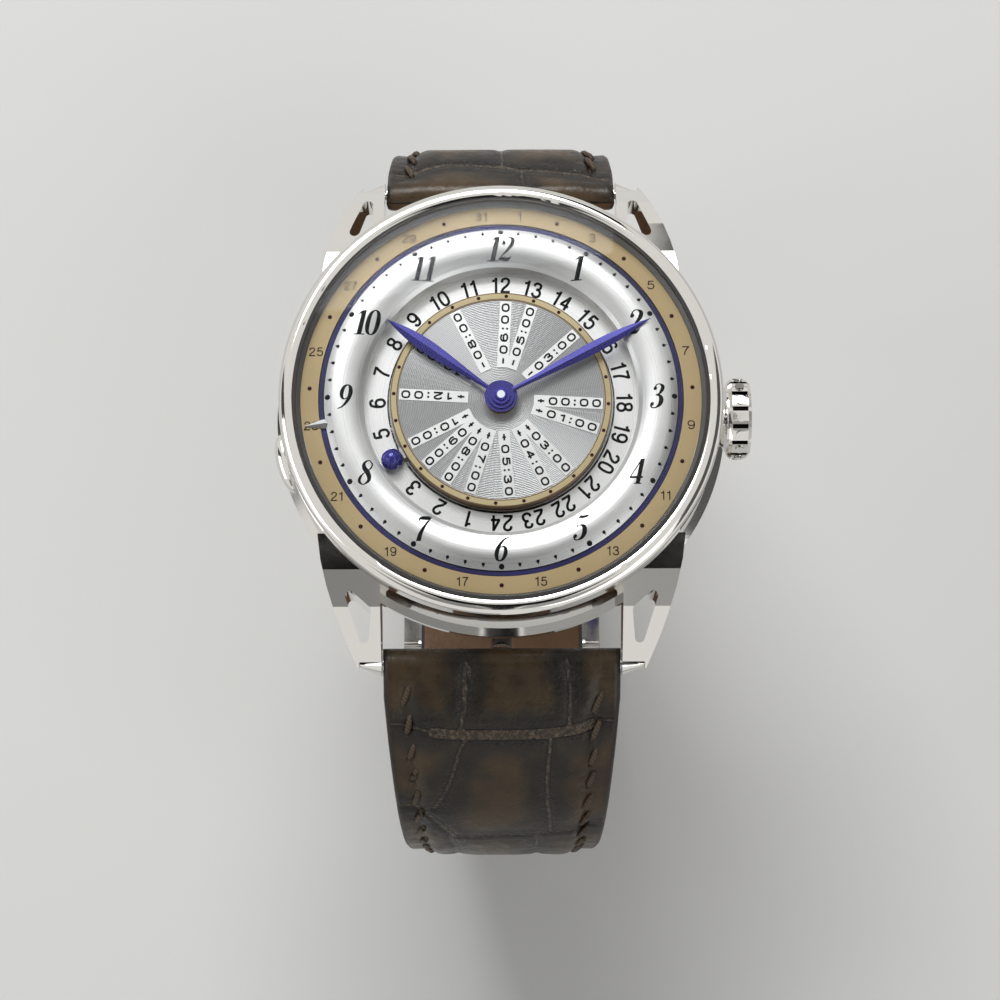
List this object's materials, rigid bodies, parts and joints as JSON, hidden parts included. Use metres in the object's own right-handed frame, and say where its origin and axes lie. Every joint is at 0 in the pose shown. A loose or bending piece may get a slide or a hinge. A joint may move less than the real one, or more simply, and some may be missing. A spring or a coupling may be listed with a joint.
{
  "type": "world time watch",
  "caption": "Round wristwatch with a world time disc, day and night ball, pointer date, open lugs, crown, corrector and a closed leather strap with pin buckle.",
  "frame": {"origin": "centre of the case back's flat outer face", "axes": "+Z out of the dial, +Y towards twelve o'clock, +X towards the crown at three o'clock"},
  "size_m": [0.0446, 0.0699, 0.0637],
  "materials": {
    "polished_case_metal": "mirror polished",
    "sapphire": "clear, polished",
    "steel": "fine turned",
    "rhodium_plate": "rhodium plated, striped",
    "gilt_brass": "gilt, circular grained",
    "ruby": "polished",
    "gasket_rubber": "matt",
    "grey_flange": "satin, turned",
    "silver_dial": "silvered, engine-turned",
    "plaque_silver": "silvered, smooth",
    "champagne_rim": "satin",
    "champagne_date": "satin, turned",
    "white_lacquer": "gloss",
    "blued_steel": "heat blued, polished",
    "ball_blue": "gloss lacquer",
    "ball_steel": "polished",
    "brown_leather": "semi-matt, creased grain"
  },
  "bodies": {
    "case": {"middle_case": "polished_case_metal", "case_back_ring": "polished_case_metal", "case_back_crystal": "sapphire", "case_back_screws": "steel", "bezel": "polished_case_metal", "inner_flange": "grey_flange", "crystal": "sapphire", "crystal_gasket": "gasket_rubber", "lugs": "polished_case_metal", "lug_bosses": "polished_case_metal", "spring_bars": "steel", "casing_ring": "rhodium_plate", "mainplate": "rhodium_plate", "barrel_bridge": "rhodium_plate", "train_bridge": "rhodium_plate", "balance_cock": "rhodium_plate", "jewels": "ruby", "movement_screws": "steel", "hairspring": "steel", "module_plate": "rhodium_plate", "dial_plate": "silver_dial", "hours24_ring": "silver_dial", "hour_ring": "silver_dial", "date_ring": "champagne_date", "pusher_spring": "steel"},
    "minute_hand": {"centre_wheel": "gilt_brass", "cannon_pinion": "gilt_brass", "minute_hand": "blued_steel", "hub_cap": "blued_steel"},
    "hour_hand": {"hour_wheel": "gilt_brass", "hour_hand": "blued_steel"},
    "minute_wheel": {"minute_wheel": "gilt_brass"},
    "zone_disc": {"city_wheel": "gilt_brass", "zone_disc": "silver_dial", "zone_plaques": "plaque_silver", "zone_rim": "champagne_rim"},
    "ball_carrier": {"ball_carrier": "steel"},
    "ball": {"ball_day_half": "ball_blue", "ball_night_half": "ball_steel"},
    "date_pointer": {"date_pointer_ring": "blued_steel", "date_pointer": "white_lacquer"},
    "barrel": {"barrel": "gilt_brass"},
    "third_wheel": {"third_wheel": "gilt_brass"},
    "fourth_wheel": {"fourth_wheel": "gilt_brass"},
    "escape_wheel": {"escape_wheel": "steel"},
    "pallet_fork": {"pallet_fork": "steel"},
    "balance": {"balance_wheel": "gilt_brass"},
    "ratchet_wheel": {"ratchet_wheel": "steel"},
    "crown_wheel": {"crown_wheel": "steel"},
    "setting_collar": {"setting_collar": "steel"},
    "crown": {"crown": "polished_case_metal", "winding_stem": "steel"},
    "pusher": {"pusher": "polished_case_metal"},
    "strap_12": {"strap_12": "brown_leather", "fixed_keeper": "brown_leather"},
    "buckle_frame": {"buckle_frame": "polished_case_metal", "buckle_bar": "steel"},
    "buckle_tongue": {"buckle_tongue": "polished_case_metal"},
    "loose_keeper": {"loose_keeper": "brown_leather"},
    "strap_6": {"strap_6": "brown_leather"}
  },
  "joints": [
    {"name": "minute_hand_turn", "type": "hinge", "parent": "case", "child": "minute_hand", "pos_m": [0, 0, 0.0085], "axis": [0, 0, -1], "continuous": true},
    {"name": "hour_hand_turn", "type": "hinge", "parent": "case", "child": "hour_hand", "pos_m": [0, 0, 0.0085], "axis": [0, 0, -1], "continuous": true},
    {"name": "minute_wheel_turn", "type": "hinge", "parent": "case", "child": "minute_wheel", "pos_m": [0.00276, 0.00231, 0.006], "axis": [0, 0, -1], "continuous": true},
    {"name": "zone_disc_turn", "type": "hinge", "parent": "case", "child": "zone_disc", "pos_m": [0, 0, 0.0085], "axis": [0, 0, -1], "continuous": true},
    {"name": "ball_carrier_turn", "type": "hinge", "parent": "case", "child": "ball_carrier", "pos_m": [0, 0, 0.0085], "axis": [0, 0, -1], "continuous": true},
    {"name": "ball_roll", "type": "hinge", "parent": "ball_carrier", "child": "ball", "pos_m": [-0.00993, -0.0056, 0.0107], "axis": [-0.8712, -0.4909, 0], "continuous": true},
    {"name": "date_pointer_turn", "type": "hinge", "parent": "case", "child": "date_pointer", "pos_m": [0, 0, 0.0105], "axis": [0, 0, -1], "continuous": true},
    {"name": "barrel_turn", "type": "hinge", "parent": "case", "child": "barrel", "pos_m": [-0.00337, 0.00585, 0.0033], "axis": [0, 0, -1], "continuous": true},
    {"name": "third_wheel_turn", "type": "hinge", "parent": "case", "child": "third_wheel", "pos_m": [0.00281, -0.00487, 0.0035], "axis": [0, 0, -1], "continuous": true},
    {"name": "fourth_wheel_turn", "type": "hinge", "parent": "case", "child": "fourth_wheel", "pos_m": [-0.00095, -0.00635, 0.0035], "axis": [0, 0, -1], "continuous": true},
    {"name": "escape_wheel_turn", "type": "hinge", "parent": "case", "child": "escape_wheel", "pos_m": [-0.00405, -0.0078, 0.0035], "axis": [0, 0, -1], "continuous": true},
    {"name": "pallet_rock", "type": "hinge", "parent": "case", "child": "pallet_fork", "pos_m": [-0.0063, -0.0062, 0.0035], "axis": [0, 0, -1], "range_deg": [-5, 5]},
    {"name": "balance_swing", "type": "hinge", "parent": "case", "child": "balance", "pos_m": [-0.0086, -0.0036, 0.004], "axis": [0, 0, -1], "range_deg": [-130, 130], "stiffness_Nm_per_rad": 0.000001, "deforming": ["hairspring"]},
    {"name": "crown_wheel_turn", "type": "hinge", "parent": "case", "child": "crown_wheel", "pos_m": [0.00489, 0.00284, 0.0019], "axis": [0, 0, 1], "continuous": true},
    {"name": "ratchet_wheel_turn", "type": "hinge", "parent": "case", "child": "ratchet_wheel", "pos_m": [-0.00337, 0.00585, 0.0019], "axis": [0, 0, 1], "continuous": true},
    {"name": "crown_pull", "type": "slide", "parent": "case", "child": "setting_collar", "axis": [1, 0, 0], "range_m": [0, 0.0012]},
    {"name": "crown_turn", "type": "hinge", "parent": "setting_collar", "child": "crown", "pos_m": [0.0212, 0, 0.00375], "axis": [1, 0, 0], "continuous": true},
    {"name": "pusher_press", "type": "slide", "parent": "case", "child": "pusher", "axis": [0.9686, 0.2487, 0], "range_m": [0, 0.0006], "stiffness_N_per_m": 1500, "deforming": ["pusher_spring"]},
    {"name": "strap_12_swing", "type": "hinge", "parent": "case", "child": "strap_12", "pos_m": [0, 0.023, 0.0022], "axis": [1, 0, 0], "range_deg": [0, 55]},
    {"name": "strap_6_swing", "type": "hinge", "parent": "case", "child": "strap_6", "pos_m": [0, -0.023, 0.0022], "axis": [-1, 0, 0], "range_deg": [0, 55], "deforming": ["strap_6"]},
    {"name": "buckle_fold", "type": "hinge", "parent": "strap_12", "child": "buckle_frame", "pos_m": [0, 0.00328, -0.04469], "axis": [1, 0, 0], "range_deg": [0, 15]},
    {"name": "tongue_lift", "type": "hinge", "parent": "buckle_frame", "child": "buckle_tongue", "pos_m": [0, 0.00328, -0.04469], "axis": [1, 0, 0], "range_deg": [0, 80]},
    {"name": "keeper_slide", "type": "hinge", "parent": "strap_12", "child": "loose_keeper", "pos_m": [0, 0, 0.0022], "axis": [1, 0, 0], "range_deg": [-2.5, 3.5]}
  ],
  "couplings": [
    {"joint": "hour_hand_turn", "follows": "minute_hand_turn", "ratio": 0.083333},
    {"joint": "minute_wheel_turn", "follows": "minute_hand_turn", "ratio": -0.33333},
    {"joint": "zone_disc_turn", "follows": "minute_hand_turn", "ratio": 0.041667},
    {"joint": "ball_carrier_turn", "follows": "minute_hand_turn", "ratio": 0.041667},
    {"joint": "ball_roll", "follows": "minute_hand_turn", "ratio": 0.041667},
    {"joint": "barrel_turn", "follows": "minute_hand_turn", "ratio": -0.125},
    {"joint": "third_wheel_turn", "follows": "minute_hand_turn", "ratio": -8},
    {"joint": "fourth_wheel_turn", "follows": "minute_hand_turn", "ratio": 60},
    {"joint": "crown_wheel_turn", "follows": "crown_turn", "ratio": 0.5},
    {"joint": "ratchet_wheel_turn", "follows": "crown_turn", "ratio": -0.31481},
    {"joint": "strap_6_swing", "follows": "strap_12_swing", "ratio": 1}
  ]
}
